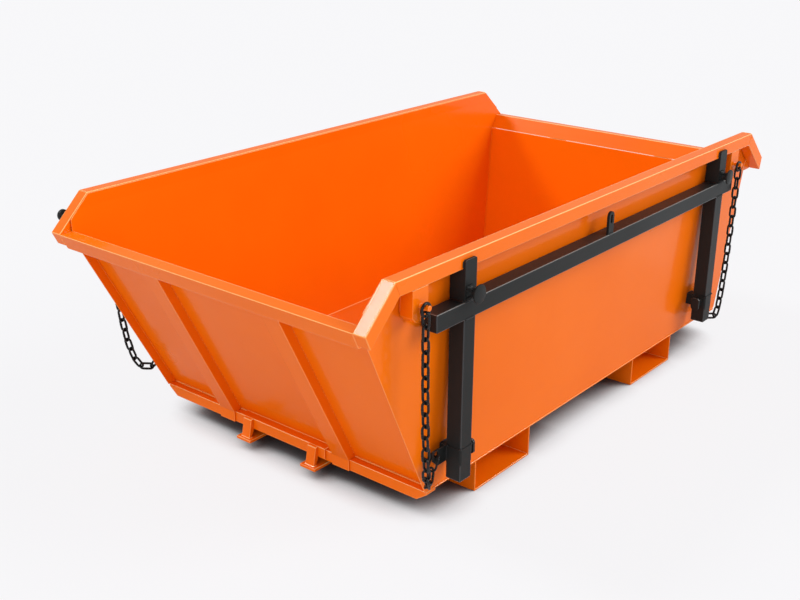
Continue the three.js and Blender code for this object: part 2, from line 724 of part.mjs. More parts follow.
// One link about its centre: along is its long direction and wide its short one
function link(centre, along, wide) {
  const half = (LINK_OUTER_WIDTH - WIRE) / 2;
  const corners = [
    [half, linkHalf - LINK_CORNER],
    [half - LINK_CORNER, linkHalf],
    [LINK_CORNER - half, linkHalf],
    [-half, linkHalf - LINK_CORNER],
  ];
  const outline = [...corners, ...corners.map(([x, y]) => [-x, -y])];
  const points = outline.map(([x, y]) => centre.clone().addScaledVector(wide, x).addScaledVector(along, y));
  return wire(points, along.clone().cross(wide).negate(), WIRE, true);
}

// The joints of a hanging chain of rigid links: the pull across is the same in every link, and the
// load that it lifts falls by one link's weight from each link to the next
function hangingChain(top, foot, lengths) {
  const across = new THREE.Vector3(foot.x - top.x, foot.y - top.y, 0);
  const span = across.length();
  across.normalize();
  const count = lengths.length;
  const steps = (pull, lift) => lengths.map((length, i) => {
    const load = lift - i - 1 / 2;
    const size = length / Math.hypot(pull, load);
    return [pull * size, -load * size];
  });
  const total = (list, part) => list.reduce((sum, step) => sum + step[part], 0);
  const halve = (start, end, isLow) => {
    let low = start;
    let high = end;
    for (let i = 0; i < SOLVER_STEPS; i += 1) {
      const middle = (low + high) / 2;
      if (isLow(middle)) low = middle;
      else high = middle;
    }
    return low;
  };
  const rise = foot.z - top.z;
  const liftFor = (pull) => halve(-count, 2 * count, (lift) => total(steps(pull, lift), 1) > rise);
  const reach = (pull) => total(steps(pull, liftFor(pull)), 0);
  const pull = halve(Number.EPSILON, count * count, (value) => reach(value) < span);
  const points = [top];
  steps(pull, liftFor(pull)).forEach(([x, z], i) => {
    const point = points[i].clone().addScaledVector(across, x);
    point.z += z;
    points.push(point);
  });
  return points;
}

const ringHeight = PEG_HEIGHT + PEG_RADIUS + FIT - RING_RADIUS + WIRE / 2;
const ringCentre = (x) => new THREE.Vector3(x, -RIM_OUTER - RING_STAND_OFF, ringHeight);
const armMiddle = FIT - POST_BACK + ARM_PLATE / 2;

function ring(x) {
  const centre = ringCentre(x);
  const radius = RING_RADIUS / Math.cos(Math.PI / RING_STEPS);
  const points = [];
  for (let i = 0; i < RING_STEPS; i += 1) {
    const turn = ((i + 1 / 2) * 2 * Math.PI) / RING_STEPS;
    const aside = new THREE.Vector3(Math.cos(turn), 0, Math.sin(turn));
    points.push(centre.clone().addScaledVector(aside, radius));
  }
  return wire(points, new THREE.Vector3(0, 1, 0), WIRE, true);
}

// The bow shackle hangs in the arm's hole and leans outwards
function shackleFrame(x, outward) {
  const hole = armHole(x, outward);
  const lean = Math.hypot(SHACKLE_LENGTH, SHACKLE_LEAN);
  const sag = ARM_HOLE_RADIUS - SHACKLE_PIN_RADIUS - SHACKLE_PIN_PLAY;
  return {
    pin: new THREE.Vector3(hole.x, armMiddle, hole.z - sag),
    down: new THREE.Vector3((outward * SHACKLE_LEAN) / lean, 0, -SHACKLE_LENGTH / lean),
  };
}

function shackle(x, outward) {
  const { pin, down } = shackleFrame(x, outward);
  const across = new THREE.Vector3(0, 1, 0);
  const straight = SHACKLE_LENGTH - SHACKLE_HALF_WIDTH;
  // The lowest facet of the bow lies flat, at the shackle's full length
  const radius = SHACKLE_HALF_WIDTH / Math.cos(Math.PI / 2 / BOW_STEPS);
  const points = [pin.clone().addScaledVector(across, radius)];
  for (let i = 0; i <= BOW_STEPS; i += 1) {
    const turn = (i * Math.PI) / BOW_STEPS;
    const point = pin.clone().addScaledVector(across, radius * Math.cos(turn));
    points.push(point.addScaledVector(down, straight + radius * Math.sin(turn)));
  }
  points.push(pin.clone().addScaledVector(across, -radius));
  const bow = wire(points, down.clone().cross(across).negate(), SHACKLE_WIRE, false);
  const reach = SHACKLE_HALF_WIDTH + SHACKLE_WIRE / 2;
  const at = (y) => [pin.x, pin.y + y, pin.z];
  return bow
    .add(cylinder(SHACKLE_PIN_RADIUS, at(-reach), at(reach), HOLE_STEPS))
    .add(cylinder(SHACKLE_HEAD_RADIUS, at(-reach - SHACKLE_HEAD / 2), at(-SHACKLE_HALF_WIDTH), HOLE_STEPS))
    .add(cylinder(SHACKLE_HEAD_RADIUS, at(SHACKLE_HALF_WIDTH), at(reach + SHACKLE_HEAD / 2), HOLE_STEPS));
}

// The first link rides in the ring and the last in the shackle's bow, so the links twist between them
function stowedChain(lugX, postX, outward, slackShare) {
  const { pin, down } = shackleFrame(postX, outward);
  const top = ringCentre(lugX);
  top.z -= RING_RADIUS;
  const foot = pin.clone().addScaledVector(down, SHACKLE_LENGTH);
  const seat = (hung) => linkSpacing / 2 + linkHalf - WIRE / 2 - hung * Math.SQRT1_2 - HANG_PLAY;
  const hang = (between) => {
    const lengths = [seat(WIRE), ...new Array(between).fill(linkSpacing), seat(SHACKLE_WIRE)];
    return hangingChain(top, foot, lengths);
  };
  // Of two counts, the one whose lowest link lies flatter, so that no link folds back on the next
  const wishedCount = Math.round((top.distanceTo(foot) * slackShare) / linkSpacing);
  const slope = (points) => Math.min(...points.slice(1).map((point, i) => Math.abs(point.z - points[i].z)));
  const hung = [hang(wishedCount), hang(wishedCount - 1)].sort((a, b) => slope(a) - slope(b));
  const points = hung[0];
  const count = points.length - 1;
  const along = points.slice(1).map((point, i) => point.clone().sub(points[i]).normalize());
  const normal = new THREE.Vector3(foot.y - top.y, top.x - foot.x, 0).normalize();
  const angleOf = (direction, wish) => {
    const side = direction.clone().cross(normal);
    return Math.atan2(wish.dot(side), wish.dot(normal));
  };
  const quarter = Math.PI / 2;
  const first = angleOf(along[0], new THREE.Vector3(0, 1, 0));
  const wished = angleOf(along[count - 1], new THREE.Vector3(1, 0, 0)) - ((count - 1) % 2) * quarter;
  const last = wished - Math.PI * Math.round((wished - first) / Math.PI);
  const links = along.map((direction, i) => {
    const end = i === 0 ? points[1] : points[i];
    const centre = end.clone().addScaledVector(direction, (linkSpacing / 2) * (i === 0 ? -1 : 1));
    const turn = first + ((last - first) * i) / (count - 1) + (i % 2) * quarter;
    const side = direction.clone().cross(normal);
    const wide = normal.clone().multiplyScalar(Math.cos(turn)).addScaledVector(side, Math.sin(turn));
    return link(centre, direction, wide);
  });
  return links.reduce((chain, next) => chain.add(next));
}

// Assembly
const skip = new THREE.Group();
const reachTipping = rimFoot(TIPPING_END).x;
const reachPlain = rimFoot(PLAIN_END).x;
skip.position.x = (reachTipping - reachPlain) / 2;

function add(name, geometry, material) {
  const mesh = new THREE.Mesh(geometry, material);
  mesh.name = name;
  skip.add(mesh);
}

add('floor_plate', toGeometry(floorPlate()), orangePaint);
ENDS.forEach((end) => {
  add(`end_wall_${end.name}`, toGeometry(endWall(end)), orangePaint);
  add(`end_rim_${end.name}`, toGeometry(endRim(end)), orangePaint);
  add(`foot_bar_${end.name}`, toGeometry(footBar(end)), orangePaint);
  add(`rib_${end.name}_near`, toGeometry(rib(end, end.fittingShift - RIB_SPACING / 2)), orangePaint);
  add(`rib_${end.name}_far`, toGeometry(rib(end, end.fittingShift + RIB_SPACING / 2)), orangePaint);
});
add('tipping_hook_bar', toGeometry(hookBar(TIPPING_END)), orangePaint);
const hookMiddle = HOOK_BAR_LENGTH / 2 - HOOK_SET_IN;
const hookLine = TIPPING_END.fittingShift;
add('tipping_hook_near', toGeometry(tippingHook(TIPPING_END, hookLine - hookMiddle)), orangePaint);
add('tipping_hook_far', toGeometry(tippingHook(TIPPING_END, hookLine + hookMiddle)), orangePaint);
add('fork_pocket_tipping', toGeometry(forkPocket(POCKET_SHIFT - POCKET_SPACING / 2)), orangePaint);
add('fork_pocket_plain', toGeometry(forkPocket(POCKET_SHIFT + POCKET_SPACING / 2)), orangePaint);

// The far side is the near side's mirror image
function addBoth(name, solid, material) {
  const geometry = toGeometry(solid);
  add(`${name}_near`, geometry, material);
  add(`${name}_far`, mirrored(geometry), material);
}

addBoth('side_wall', sideWall(), orangePaint);
addBoth('side_rim', sideRim(), orangePaint);
addBoth('cross_bar', crossBar(), blackPaint);
addBoth('lifting_eye', liftingEye(), blackPaint);
ENDS.forEach((end) => {
  const x = end.sign * postAt(end);
  const lug = x + end.sign * end.lugReach;
  addBoth(`chain_lug_${end.name}`, chainLug(lug), orangePaint);
  addBoth(`post_${end.name}`, post(x), blackPaint);
  addBoth(`post_head_${end.name}`, postHead(x), blackPaint);
  addBoth(`trunnion_${end.name}`, trunnion(x), blackPaint);
  addBoth(`stand_off_${end.name}`, standOff(x, end.sign), blackPaint);
  addBoth(`cleat_${end.name}`, cleat(x, end.sign), blackPaint);
  addBoth(`shackle_${end.name}`, shackle(x, end.sign), chainSteel);
  addBoth(`ring_${end.name}`, ring(lug), chainSteel);
  addBoth(`chain_${end.name}`, stowedChain(lug, x, end.sign, end.chainSlackShare), chainSteel);
});

export default skip;
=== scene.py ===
# Looks of the builders skip: paint, welds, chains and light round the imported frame. Metres.
import json
import math
import random

import bpy
from mathutils import Matrix, Vector


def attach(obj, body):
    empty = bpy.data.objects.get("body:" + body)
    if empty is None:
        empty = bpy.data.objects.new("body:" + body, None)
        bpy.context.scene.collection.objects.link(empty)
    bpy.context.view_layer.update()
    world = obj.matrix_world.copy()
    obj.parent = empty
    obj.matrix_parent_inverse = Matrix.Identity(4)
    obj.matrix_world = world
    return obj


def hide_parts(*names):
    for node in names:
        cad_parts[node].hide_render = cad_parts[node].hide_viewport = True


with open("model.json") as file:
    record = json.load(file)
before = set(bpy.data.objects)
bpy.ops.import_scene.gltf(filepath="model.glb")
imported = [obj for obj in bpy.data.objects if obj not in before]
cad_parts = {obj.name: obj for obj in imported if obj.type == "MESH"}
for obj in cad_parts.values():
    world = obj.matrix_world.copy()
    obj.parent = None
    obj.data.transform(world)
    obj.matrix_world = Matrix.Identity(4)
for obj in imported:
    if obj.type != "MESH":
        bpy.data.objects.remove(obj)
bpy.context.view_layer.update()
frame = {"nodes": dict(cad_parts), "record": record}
nodes = frame["nodes"]
random.seed(7)
MM = 0.001

# Sizes shared with the solids, in millimetres. Lengths along X are measured from the middle of the
# H-frames, which is SHIFT away from the middle of the whole skip
SHIFT = 18.5
RIM_TOP = 975.0
RIM_UNDER = 925.0
RIM_OUTER = 750.0
RIM_INNER = 700.0
FLOOR_TOP = 127.0
FLOOR_UNDER = 122.0
POST_FRONT = 760.3
POST_BACK = 700.3
POST_X = 912.0
BAR_TOP = 817.0
BAR_UNDER = 757.0
# A side wall's sloping edge at each end: where its foot is, where its top is and how high the top is
EDGE_TIP = (1003.0, 1336.0, 787.0)
EDGE_PLAIN = (1220.0, 1307.0, 782.0)
RIB_DEPTH = 35.0
RIB_Y = 294.0
RIB_HALF = 40.0
FITTING_SHIFT = 18.0
FOOT_BAR_TOP = 121.7
HOOK_BAR_TOP = 128.7
HOOK_BAR_HALF = 220.0
TAPER = 39.0
POCKETS = (-539.0, 603.0)
TRUNNION_Z = 846.0
ARM_UNDER = 237.0
ARM_TOP = 297.0


def wall_outer(z):
    return RIM_INNER - TAPER * max(0.0, (RIM_UNDER - z) / (RIM_UNDER - FLOOR_TOP))


def edge_x(end, z):
    foot, top, under = end
    return foot + (top - foot) * (z - FLOOR_TOP) / (under - FLOOR_TOP)


def end_wall_x(end, z):
    foot, top, under = end
    slope = (top - foot) / (under - FLOOR_TOP)
    return edge_x(end, z) - RIB_DEPTH * math.hypot(1.0, slope)


def at(x, y, z):
    return Vector(((x + SHIFT) * MM, y * MM, z * MM))


# Camera
PICTURE_WIDTH = 800.0
FOCAL_LENGTH = 1133.36
SENSOR_WIDTH = 36.0
CAMERA_TURN = (1.80000717, -0.84630266, 0.58555399)
CAMERA_PLACE = (-3614.8, -2686.0, 2108.8)
VIEW_REACH = 60.0

scene = bpy.context.scene
scene.view_settings.view_transform = "Standard"


def turn_matrix(vector):
    angle = math.sqrt(sum(v * v for v in vector))
    return Matrix.Rotation(angle, 3, Vector(vector))


world_to_camera = turn_matrix(CAMERA_TURN)
camera_data = bpy.data.cameras.new("camera")
camera_data.sensor_width = SENSOR_WIDTH
camera_data.sensor_fit = "HORIZONTAL"
camera_data.lens = FOCAL_LENGTH / PICTURE_WIDTH * SENSOR_WIDTH
camera_data.clip_end = VIEW_REACH
camera = bpy.data.objects.new("camera", camera_data)
scene.collection.objects.link(camera)
right = Vector(world_to_camera[0])
down = Vector(world_to_camera[1])
ahead = Vector(world_to_camera[2])
place = Matrix((right, -down, -ahead)).transposed().to_4x4()
place.translation = at(*CAMERA_PLACE)
camera.matrix_world = place
scene.camera = camera


# Materials
NOISE_ROUGHNESS = 0.5
NOISE_LOW = 0.3
NOISE_HIGH = 0.7
FACING_LOW = 0.3
FACING_HIGH = 0.7
ROUGHNESS_SPREAD = 0.12
COAT_ROUGHNESS = 0.10
WAVE_STRENGTH = 0.3
PEEL_STRENGTH = 0.25
MIX_FACTOR = 0
MIX_FIRST = 6
MIX_SECOND = 7
MIX_RESULT = 2


def new_material(name):
    material = bpy.data.materials.new(name)
    material.use_nodes = True
    tree = material.node_tree
    tree.nodes.clear()
    output = tree.nodes.new("ShaderNodeOutputMaterial")
    shader = tree.nodes.new("ShaderNodeBsdfPrincipled")
    tree.links.new(shader.outputs["BSDF"], output.inputs["Surface"])
    return material, tree, shader


def noise(tree, scale, detail, source):
    node = tree.nodes.new("ShaderNodeTexNoise")
    node.inputs["Scale"].default_value = scale
    node.inputs["Detail"].default_value = detail
    node.inputs["Roughness"].default_value = NOISE_ROUGHNESS
    tree.links.new(source, node.inputs["Vector"])
    return node.outputs["Fac"]


def spread(tree, value, low, high, out_low, out_high):
    node = tree.nodes.new("ShaderNodeMapRange")
    node.inputs["From Min"].default_value = low
    node.inputs["From Max"].default_value = high
    node.inputs["To Min"].default_value = out_low
    node.inputs["To Max"].default_value = out_high
    tree.links.new(value, node.inputs["Value"])
    return node.outputs["Result"]


def mix_colour(tree, factor, first, second):
    node = tree.nodes.new("ShaderNodeMix")
    node.data_type = "RGBA"
    tree.links.new(factor, node.inputs[MIX_FACTOR])
    for socket, value in ((node.inputs[MIX_FIRST], first), (node.inputs[MIX_SECOND], second)):
        if isinstance(value, tuple):
            socket.default_value = value
        else:
            tree.links.new(value, socket)
    return node.outputs[MIX_RESULT]


def bump(tree, height, strength, distance, before=None):
    node = tree.nodes.new("ShaderNodeBump")
    node.inputs["Strength"].default_value = strength
    node.inputs["Distance"].default_value = distance
    tree.links.new(height, node.inputs["Height"])
    if before is not None:
        tree.links.new(before, node.inputs["Normal"])
    return node.outputs["Normal"]


def paint(name, colour, deep, roughness, coat, specular, peel, wave, painted_highlight=None):
    material, tree, shader = new_material(name)
    coords = tree.nodes.new("ShaderNodeTexCoord").outputs["Object"]
    broad = noise(tree, scale=2.2, detail=3.0, source=coords)
    fine = noise(tree, scale=320.0, detail=2.0, source=coords)
    sheet = noise(tree, scale=4.5, detail=2.0, source=coords)
    mottled = spread(tree, broad, NOISE_LOW, NOISE_HIGH, 0.0, 1.0)
    base = mix_colour(tree, mottled, colour, deep)
    if painted_highlight is not None:
        # Painted highlight: what faces upwards gets a lighter colour, standing in for light from above
        facing = tree.nodes.new("ShaderNodeSeparateXYZ")
        geometry = tree.nodes.new("ShaderNodeNewGeometry")
        tree.links.new(geometry.outputs["Normal"], facing.inputs["Vector"])
        highlight_share = spread(tree, facing.outputs["Z"], FACING_LOW, FACING_HIGH, 0.0, 1.0)
        base = mix_colour(tree, highlight_share, base, painted_highlight)
    tree.links.new(base, shader.inputs["Base Color"])
    smooth = roughness * (1 - ROUGHNESS_SPREAD)
    dull = roughness * (1 + ROUGHNESS_SPREAD)
    rough = spread(tree, broad, NOISE_LOW, NOISE_HIGH, smooth, dull)
    tree.links.new(rough, shader.inputs["Roughness"])
    shader.inputs["Specular IOR Level"].default_value = specular
    shader.inputs["Coat Weight"].default_value = coat
    shader.inputs["Coat Roughness"].default_value = COAT_ROUGHNESS
    waves = bump(tree, sheet, WAVE_STRENGTH, wave)
    normal = bump(tree, fine, PEEL_STRENGTH, peel, waves)
    tree.links.new(normal, shader.inputs["Normal"])
    tree.links.new(waves, shader.inputs["Coat Normal"])
    return material


orange = paint(
    "orange_gloss_paint",
    colour=(0.93, 0.173, 0.002, 1.0),
    deep=(0.89, 0.156, 0.001, 1.0),
    roughness=0.30,
    coat=0.28,
    specular=0.05,
    peel=0.0004,
    wave=0.004,
)
# The beads' upward faces get a lighter colour as a painted highlight
orange_weld = paint(
    "orange_painted_weld",
    colour=(0.92, 0.165, 0.002, 1.0),
    deep=(0.82, 0.13, 0.001, 1.0),
    roughness=0.38,
    coat=0.3,
    specular=0.08,
    peel=0.0006,
    wave=0.002,
    painted_highlight=(1.0, 0.5, 0.16, 1.0),
)
black = paint(
    "black_semi_gloss_paint",
    colour=(0.021, 0.022, 0.0215, 1.0),
    deep=(0.018, 0.019, 0.0185, 1.0),
    roughness=0.34,
    coat=0.04,
    specular=0.08,
    peel=0.0005,
    wave=0.002,
)
black_weld = paint(
    "black_painted_weld",
    colour=(0.012, 0.012, 0.013, 1.0),
    deep=(0.008, 0.008, 0.009, 1.0),
    roughness=0.38,
    coat=0.1,
    specular=0.3,
    peel=0.0006,
    wave=0.001,
)
chain_black = paint(
    "black_chain_finish",
    colour=(0.005, 0.005, 0.0055, 1.0),
    deep=(0.003, 0.003, 0.0035, 1.0),
    roughness=0.32,
    coat=0.1,
    specular=0.25,
    peel=0.0005,
    wave=0.0005,
)

# Lighter, yellower paint for the bevelled edges: a painted highlight for the bright lines of light along
# them, lighter still where the edge faces upwards
orange_edge_highlight = paint(
    "orange_paint_with_painted_edge_highlight",
    colour=(1.0, 0.30, 0.045, 1.0),
    deep=(0.96, 0.23, 0.02, 1.0),
    roughness=0.24,
    coat=0.8,
    specular=0.2,
    peel=0.0003,
    wave=0.001,
    painted_highlight=(1.0, 0.6, 0.23, 1.0),
)
# Lighter paint for the black bevelled edges: a painted highlight along them, lighter still where the edge
# faces upwards
black_edge_highlight = paint(
    "black_paint_with_painted_edge_highlight",
    colour=(0.035, 0.036, 0.037, 1.0),
    deep=(0.022, 0.023, 0.024, 1.0),
    roughness=0.26,
    coat=0.4,
    specular=0.3,
    peel=0.0004,
    wave=0.001,
    painted_highlight=(0.2, 0.2, 0.19, 1.0),
)

# CAD nodes: paint, with a lighter paint on the bevelled edges as a painted highlight, and the small radii
# of rolled and folded steel
TUBES = {"side_rim": 3.0, "cross_bar": 3.0, "post_tipping": 3.0, "post_plain": 3.0, "end_rim": 2.5}
FOLDS = {"rib_": 4.0, "tipping_hook": 2.2, "foot_bar": 2.2}
PLATE_EDGE = 1.2
JOIN_DISTANCE = 0.02
FLAT_ANGLE = 0.4
EDGE_ANGLE = 28
EDGE_SEGMENTS = 3
FACE_PAINT = {"orange_paint": orange, "black_paint": black, "chain_steel": chain_black}
EDGE_HIGHLIGHT_PAINT = {"orange_paint": orange_edge_highlight, "black_paint": black_edge_highlight, "chain_steel": chain_black}


def finish_node(name, node):
    slot = next(s["material_slot"] for s in frame["record"]["subparts"] if s["node"] == name)
    node.data.materials.clear()
    node.data.materials.append(FACE_PAINT[slot])
    node.data.materials.append(EDGE_HIGHLIGHT_PAINT[slot])
    radius = PLATE_EDGE
    for start, size in (TUBES | FOLDS).items():
        if name.startswith(start):
            radius = size
    weld = node.modifiers.new("join_faces", "WELD")
    weld.merge_threshold = JOIN_DISTANCE * MM
    merge = node.modifiers.new("merge_flats", "DECIMATE")
    merge.decimate_type = "DISSOLVE"
    merge.angle_limit = math.radians(FLAT_ANGLE)
    edges = node.modifiers.new("rolled_edges", "BEVEL")
    edges.width = radius * MM
    edges.segments = EDGE_SEGMENTS
    edges.limit_method = "ANGLE"
    edges.angle_limit = math.radians(EDGE_ANGLE)
    edges.harden_normals = False
    edges.use_clamp_overlap = not name.startswith(tuple(TUBES))
    # The bevel faces take the second slot, the paint with the painted edge highlight
    edges.material = 1


for node_name, cad_node in nodes.items():
    finish_node(node_name, cad_node)


# Pieces made here
def make_piece(name, vertices, faces, material, body, smooth=True):
    mesh = bpy.data.meshes.new(name)
    mesh.from_pydata([tuple(v) for v in vertices], [], faces)
    mesh.validate()
    mesh.update()
    if smooth:
        mesh.polygons.foreach_set("use_smooth", [True] * len(mesh.polygons))
    mesh.materials.append(material)
    piece = bpy.data.objects.new(name, mesh)
    scene.collection.objects.link(piece)
    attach(piece, body)
    return piece


# A round rod along a path, of one radius or of one for each point
def tube(path, radius, sides, closed, up):
    vertices = []
    faces = []
    count = len(path)
    for i, point in enumerate(path):
        if closed:
            ahead_point = path[(i + 1) % count]
            behind_point = path[i - 1]
        else:
            ahead_point = path[min(i + 1, count - 1)]
            behind_point = path[max(i - 1, 0)]
        tangent = (ahead_point - behind_point).normalized()
        side = tangent.cross(up).normalized()
        across = side.cross(tangent).normalized()
        size = radius[i] if isinstance(radius, list) else radius
        for j in range(sides):
            angle = 2 * math.pi * j / sides
            vertices.append(point + side * (size * math.cos(angle)) + across * (size * math.sin(angle)))
    spans = count if closed else count - 1
    for i in range(spans):
        for j in range(sides):
            a = i * sides + j
            b = i * sides + (j + 1) % sides
            c = ((i + 1) % count) * sides + (j + 1) % sides
            d = ((i + 1) % count) * sides + j
            faces.append((a, b, c, d))
    if not closed:
        faces.append(tuple(range(sides))[::-1])
        faces.append(tuple((count - 1) * sides + j for j in range(sides)))
    return vertices, faces


def joined(parts):
    vertices = []
    faces = []
    for part_vertices, part_faces in parts:
        start = len(vertices)
        vertices.extend(part_vertices)
        faces.extend(tuple(start + i for i in face) for face in part_faces)
    return vertices, faces


# A turned solid: the profile's points are radius and distance along the axis
def lathe(profile, origin, axis, sides):
    axis = axis.normalized()
    side = axis.orthogonal().normalized()
    across = axis.cross(side)
    vertices = []
    faces = []
    for radius, along in profile:
        for j in range(sides):
            angle = 2 * math.pi * j / sides
            outward = side * math.cos(angle) + across * math.sin(angle)
            vertices.append(origin + axis * along + outward * radius)
    for i in range(len(profile) - 1):
        for j in range(sides):
            a = i * sides + j
            b = i * sides + (j + 1) % sides
            faces.append((a, b, b + sides, a + sides))
    faces.append(tuple(range(sides))[::-1])
    faces.append(tuple((len(profile) - 1) * sides + j for j in range(sides)))
    return vertices, faces


def mirror_y(vertices, faces):
    return [Vector((v.x, -v.y, v.z)) for v in vertices], [face[::-1] for face in faces]


# A piece of the near side and its mirror image on the far side
def both_sides(name, shape, material, body="skip", replaced=None, smooth=True):
    for side, (vertices, faces) in (("near", shape), ("far", mirror_y(*shape))):
        this_body = body.format(side=side)
        piece = make_piece(f"{name}_{side}", vertices, faces, material, this_body, smooth)
        if replaced:
            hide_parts(replaced.format(side=side))


# Weld beads: a rippled fillet along a line, wider and thicker at each ripple
BEAD_SIDES = 6
BEAD_PITCH = 4.0
BEAD_WANDER = 0.15
BEAD_RIPPLE = 0.16
BEAD_END_SHARE = 0.45
BEAD_END_SLOPE = 6.0
LEAST_BEAD_STEPS = 4
LONG_PITCH = 6.0
STITCH_PITCH = 3.5
UPRIGHT_SHARE = 0.9
UP = Vector((0, 0, 1))
OUTWARD = Vector((0, 1, 0))


def ripple_at(i):
    return 1.0 + BEAD_RIPPLE * (1 if i % 2 else -1)


def bead(start, end, radius, pitch=BEAD_PITCH, wander=BEAD_WANDER):
    length = (end - start).length / MM
    steps = max(LEAST_BEAD_STEPS, int(length / pitch * 2))
    path = []
    sizes = []
    for i in range(steps + 1):
        share = i / steps
        ripple = ripple_at(i) + wander * (random.random() - 0.5)
        to_end = min(share, 1 - share)
        fade = min(1.0, BEAD_END_SLOPE * to_end + BEAD_END_SHARE)
        path.append(start.lerp(end, share))
        sizes.append(radius * MM * ripple * fade)
    direction = (end - start).normalized()
    up = UP if abs(direction.z) < UPRIGHT_SHARE else OUTWARD
    return tube(path, sizes, BEAD_SIDES, False, up)


def stitches(start, end, radius, dash, gap):
    length = (end - start).length / MM
    count = max(1, int(length / (dash + gap)))
    parts = []
    for i in range(count):
        first = start.lerp(end, i / count)
        last = start.lerp(end, (i + dash / (dash + gap)) / count)
        parts.append(bead(first, last, radius, STITCH_PITCH))
    return joined(parts)


# Beads of the tub, on the painted plates
RIM_CLEAR = 1.0
STITCH_RADIUS = 2.6
STITCH_DASH = 9.0
STITCH_GAP = 8.0
STITCH_FOOT = 10.0
STITCH_HEAD = 6.0
FOOT_BEAD = 3.2
FOOT_BEAD_OUT = 1.6
FOOT_BEAD_RISE = 2.6
FOOT_BEAD_SHORT = 8.0
HOOK_BEAD = 2.2
HOOK_BEAD_OUT = 1.4
HOOK_BEAD_RISE = 0.6
HOOK_BEAD_SHORT = 3.0
CORNER_BEAD = 3.4
CORNER_IN = 5.5
CORNER_SHORT = 4.0
RECESS_BEAD = 3.0
RECESS_OUT = 1.5
RECESS_RISE = 2.0
FLOOR_BEAD = 3.2
FLOOR_BEAD_IN = 5.0
FLOOR_BEAD_RISE = 1.0
FLOOR_BEAD_ENDS = (-950.0, 1170.0)


# The dashed runs along both edges of an end wall's two ribs
def rib_beads(sign, end, middle):
    low_z = FLOOR_TOP + STITCH_FOOT
    high_z = end[2] - RIM_CLEAR - STITCH_HEAD
    found = []
    for centre in (middle - RIB_Y, middle + RIB_Y):
        for y in (centre - RIB_HALF, centre + RIB_HALF):
            low = at(sign * end_wall_x(end, low_z), y, low_z)
            high = at(sign * end_wall_x(end, high_z), y, high_z)
            found.append(stitches(low, high, STITCH_RADIUS, STITCH_DASH, STITCH_GAP))
    return found


# Along the foot bar, between the side walls, the ribs and the hook bar of the tipping end
def foot_beads(sign, end, middle):
    half = wall_outer(FLOOR_TOP) - FOOT_BEAD_SHORT
    near_rib = (middle - RIB_Y - RIB_HALF, middle - RIB_Y + RIB_HALF)
    far_rib = (middle + RIB_Y - RIB_HALF, middle + RIB_Y + RIB_HALF)
    runs = [(-half, near_rib[0]), (far_rib[1], half)]
    found = []
    if sign < 0:
        low_y = middle - HOOK_BAR_HALF
        high_y = middle + HOOK_BAR_HALF
        runs += [(near_rib[1], low_y), (high_y, far_rib[0])]
        x = -(end_wall_x(end, HOOK_BAR_TOP) + HOOK_BEAD_OUT)
        z = HOOK_BAR_TOP + HOOK_BEAD_RISE
        found.append(bead(at(x, low_y + HOOK_BEAD_SHORT, z), at(x, high_y - HOOK_BEAD_SHORT, z), HOOK_BEAD))
    else:
        runs.append((near_rib[1], far_rib[0]))
    x = sign * (end_wall_x(end, FLOOR_TOP) + FOOT_BEAD_OUT)
    z = FOOT_BAR_TOP + FOOT_BEAD_RISE
    for low_y, high_y in runs:
        found.append(bead(at(x, low_y, z), at(x, high_y, z), FOOT_BEAD))
    return found


# A point near the corner of an end wall and a side wall, out from the end wall's face
def corner_point(sign, end, side, out, z, wall_z):
    x = sign * (end_wall_x(end, z) + out)
    y = side * (wall_outer(wall_z) - CORNER_IN)
    return at(x, y, z)


def corner_beads(sign, end):
    low_z = FLOOR_TOP + CORNER_SHORT
    high_z = end[2] - RIM_CLEAR - CORNER_SHORT
    recess_z = low_z + RECESS_RISE
    found = []
    for side in (-1, 1):
        low = corner_point(sign, end, side, -CORNER_IN, low_z, low_z)
        high = corner_point(sign, end, side, -CORNER_IN, high_z, high_z)
        found.append(bead(low, high, CORNER_BEAD))
        # Outside, in the recess beside the side wall's edge
        low = corner_point(sign, end, side, RECESS_OUT, recess_z, low_z)
        high = corner_point(sign, end, side, RECESS_OUT, high_z, high_z)
        found.append(bead(low, high, RECESS_BEAD))
    return found


tub_welds = []
for sign, end, middle in ((-1, EDGE_TIP, FITTING_SHIFT), (1, EDGE_PLAIN, 0.0)):
    tub_welds += rib_beads(sign, end, middle)
    tub_welds += foot_beads(sign, end, middle)
    tub_welds += corner_beads(sign, end)
for side in (-1, 1):
    y = side * (wall_outer(FLOOR_TOP) - FLOOR_BEAD_IN)
    low, high = (at(x, y, FLOOR_TOP + FLOOR_BEAD_RISE) for x in FLOOR_BEAD_ENDS)
    tub_welds.append(bead(low, high, FLOOR_BEAD, LONG_PITCH))
vertices, faces = joined(tub_welds)
make_piece("tub_weld_beads", vertices, faces, orange_weld, "skip")

# Beads of the H-frames: round the bar's joints with the posts, heads and brackets
POST_SIDE = 30.5
SEAM = 0.5
BAR_BEAD = 3.6
BAR_BEAD_HALF = 27.0
BAR_SIDE_BEAD = 3.4
BAR_SIDE_SHORT = 3.0
TONGUE_BEAD = 2.6
TONGUE_OUT = 1.0
TONGUE_SPAN = (RIM_UNDER + 6.0, RIM_UNDER + 26.0)
SPACER_BEAD = 2.6
SPACER_BEAD_HALF = 24.0
SPACER_HEIGHTS = (243.0, 291.0)
STAND_OFF_BEAD = 3.0
STAND_OFF_OUT = 1.0
STAND_OFF_SPAN = (242.0, 292.0)
TACK_BEAD = 3.2
TACK_HALF = Vector((4.0 * MM, 0.0, 0.0))
TACK_PITCH = 2.5
TACK_WANDER = 0.3
SIDE_TACK = (31.0, POST_BACK + 8.0)
FRONT_TACK = (29.0, POST_FRONT)
CLEAT_BEAD = 2.6
CLEAT_END_BEAD = 2.4
CLEAT_HEIGHTS = (254.0, 280.0)
CLEAT_SPAN = (-742.0, -720.0)
CLEAT_ENDS = (-743.0, -718.0)
EYE_BEAD = 2.8
EYE_SIDES = (-757.3, -745.3)
EYE_SPAN = (-45.0, -9.0)


